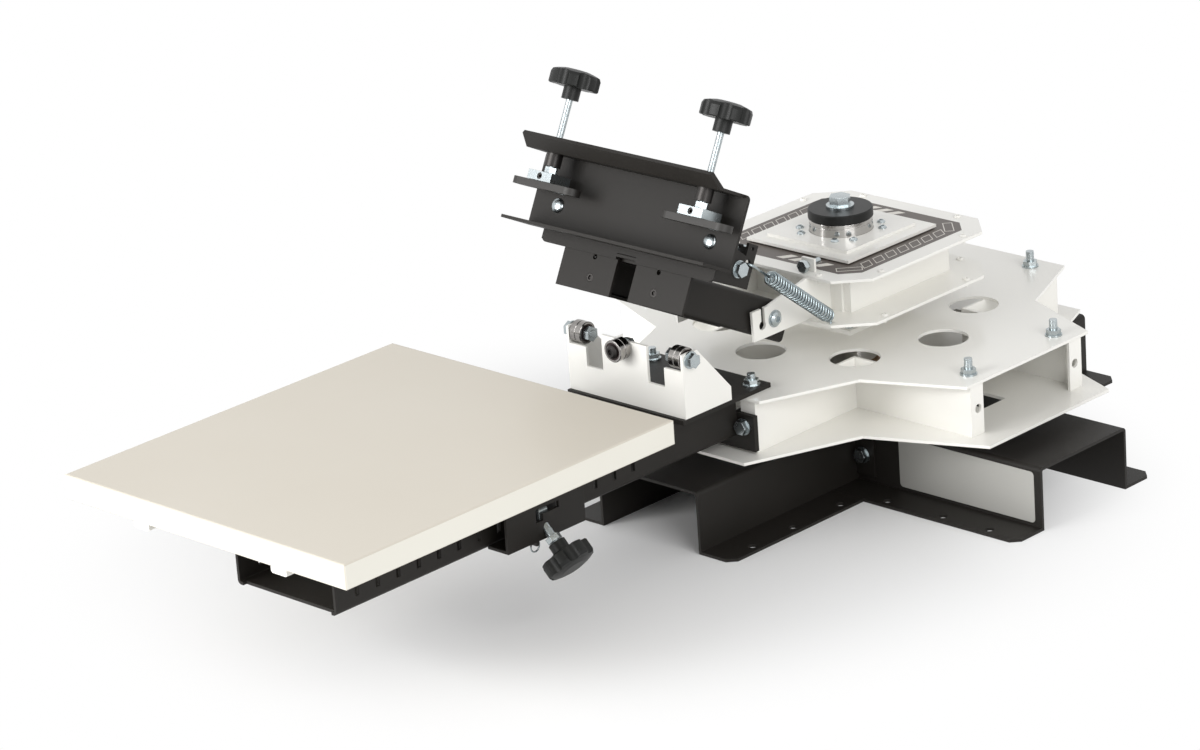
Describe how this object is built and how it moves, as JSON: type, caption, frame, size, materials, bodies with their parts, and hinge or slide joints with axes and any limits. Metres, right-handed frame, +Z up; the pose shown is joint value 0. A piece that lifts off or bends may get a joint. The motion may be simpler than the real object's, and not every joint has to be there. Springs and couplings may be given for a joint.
{
  "type": "tabletop screen printing press",
  "caption": "Hand operated tabletop screen printing press: turning rotor with a sliding pallet on an arm, registration gate, and a sprung tilting print head with screen clamps.",
  "frame": {"origin": "on the post's axis, at the height of the bench face under the base flanges", "axes": "+Z up the post, -Y towards the pallet and the operator, +X to the operator's right"},
  "size_m": [0.5936, 1.149, 0.454],
  "materials": {
    "black_coat": "fine textured powder coat",
    "white_coat": "smooth powder coat",
    "zinc": "zinc plated",
    "polished_steel": "ground and polished",
    "bronze": "sintered",
    "nylon": "moulded",
    "black_plastic": "moulded, half gloss",
    "laminate": "laminated board"
  },
  "bodies": {
    "base": {"base_channel": "black_coat", "front_leg": "black_coat", "rear_leg": "black_coat", "base_bolts": "zinc", "centre_post": "polished_steel", "post_foot": "black_coat", "thrust_washer": "nylon", "cap_disc": "black_plastic", "cap_bolt": "zinc"},
    "rotor": {"rotor_bottom_plate": "white_coat", "rotor_top_plate": "white_coat", "rotor_bushes": "bronze", "rotor_webs": "white_coat", "rotor_bearing_plate": "white_coat", "station_studs": "zinc", "head_thrust_washer": "nylon", "pallet_arm": "black_coat", "arm_end_plate": "black_coat", "arm_top_plate": "black_coat", "arm_bolts": "zinc", "gate": "white_coat", "roller_pins": "zinc"},
    "centre_bearing": {"roller_centre": "polished_steel"},
    "right_bearing": {"roller_right": "polished_steel"},
    "left_bearing": {"roller_left": "polished_steel"},
    "pallet": {"pallet_board": "laminate", "pallet_rails": "white_coat", "pallet_screws": "zinc", "saddle": "black_coat", "saddle_glides": "nylon", "lock_block": "zinc"},
    "pad": {"lock_pad": "nylon"},
    "lock": {"lock_knob": "black_plastic", "lock_stud": "zinc"},
    "latch": {"index_latch": "zinc"},
    "head": {"head_lower_plate": "white_coat", "head_top_plate": "white_coat", "head_box": "white_coat", "head_hub": "white_coat", "head_bushes": "bronze", "bearing_block": "white_coat", "head_screws": "zinc", "yoke_plates": "white_coat", "tilt_axle": "zinc", "stop_bolt": "zinc"},
    "print_head": {"print_arm": "black_coat", "arm_bushes": "nylon", "crosshead": "black_coat", "hanging_plates": "black_coat", "screen_plate": "black_coat", "print_head_bolts": "zinc", "clamp_collars": "black_plastic", "spring_right": "zinc", "spring_left": "zinc"},
    "clamp_right": {"clamp_shoe_right": "zinc"},
    "clamp_left": {"clamp_shoe_left": "zinc"},
    "knob_right": {"clamp_knob_right": "black_plastic", "clamp_stud_right": "zinc"},
    "knob_left": {"clamp_knob_left": "black_plastic", "clamp_stud_left": "zinc"}
  },
  "joints": [
    {"name": "rotor_spin", "type": "hinge", "parent": "base", "child": "rotor", "pos_m": [0, 0, 0.1], "axis": [0, 0, 1], "continuous": true},
    {"name": "centre_roller_spin", "type": "hinge", "parent": "rotor", "child": "centre_bearing", "pos_m": [0, -0.3245, 0.2045], "axis": [0, 1, 0], "continuous": true},
    {"name": "right_roller_spin", "type": "hinge", "parent": "rotor", "child": "right_bearing", "pos_m": [0.0644, -0.306, 0.204], "axis": [1, 0, 0], "continuous": true},
    {"name": "left_roller_spin", "type": "hinge", "parent": "rotor", "child": "left_bearing", "pos_m": [-0.0644, -0.306, 0.204], "axis": [1, 0, 0], "continuous": true},
    {"name": "pallet_slide", "type": "slide", "parent": "rotor", "child": "pallet", "axis": [0, 1, 0], "range_m": [-0.1778, 0.1016]},
    {"name": "index_latch_swing", "type": "hinge", "parent": "pallet", "child": "latch", "pos_m": [0.07405, -0.5326, 0.138], "axis": [0, 1, 0], "range_deg": [0, 12]},
    {"name": "lock_pad_push", "type": "slide", "parent": "pallet", "child": "pad", "axis": [-0.7071, 0, 0.7071], "range_m": [0, 0.001]},
    {"name": "lock_knob_turn", "type": "hinge", "parent": "pad", "child": "lock", "pos_m": [0.0916, -0.5234, 0.111], "axis": [-0.7071, 0, 0.7071], "range_deg": [0, 288]},
    {"name": "head_spin", "type": "hinge", "parent": "base", "child": "head", "pos_m": [0, 0, 0.2], "axis": [0, 0, 1], "continuous": true},
    {"name": "arm_tilt", "type": "hinge", "parent": "head", "child": "print_head", "pos_m": [0, -0.16, 0.196], "axis": [1, 0, 0], "range_deg": [0, 25], "stiffness_Nm_per_rad": 6, "springref_deg": -80.21, "deforming": ["spring_right", "spring_left"]},
    {"name": "right_clamp_travel", "type": "slide", "parent": "print_head", "child": "clamp_right", "axis": [0, -0.454, -0.891], "range_m": [0, 0.026]},
    {"name": "right_clamp_knob_turn", "type": "hinge", "parent": "clamp_right", "child": "knob_right", "pos_m": [0.0975, -0.3001, 0.35717], "axis": [0, -0.454, -0.891], "range_deg": [0, 7370.1]},
    {"name": "left_clamp_travel", "type": "slide", "parent": "print_head", "child": "clamp_left", "axis": [0, -0.454, -0.891], "range_m": [0, 0.026]},
    {"name": "left_clamp_knob_turn", "type": "hinge", "parent": "clamp_left", "child": "knob_left", "pos_m": [-0.0975, -0.3001, 0.35717], "axis": [0, -0.454, -0.891], "range_deg": [0, 7370.1]}
  ],
  "couplings": [
    {"joint": "lock_knob_turn", "follows": "lock_pad_push", "rad_per_m": 5026.5},
    {"joint": "right_clamp_knob_turn", "follows": "right_clamp_travel", "rad_per_m": 4947.4},
    {"joint": "left_clamp_knob_turn", "follows": "left_clamp_travel", "rad_per_m": 4947.4}
  ]
}
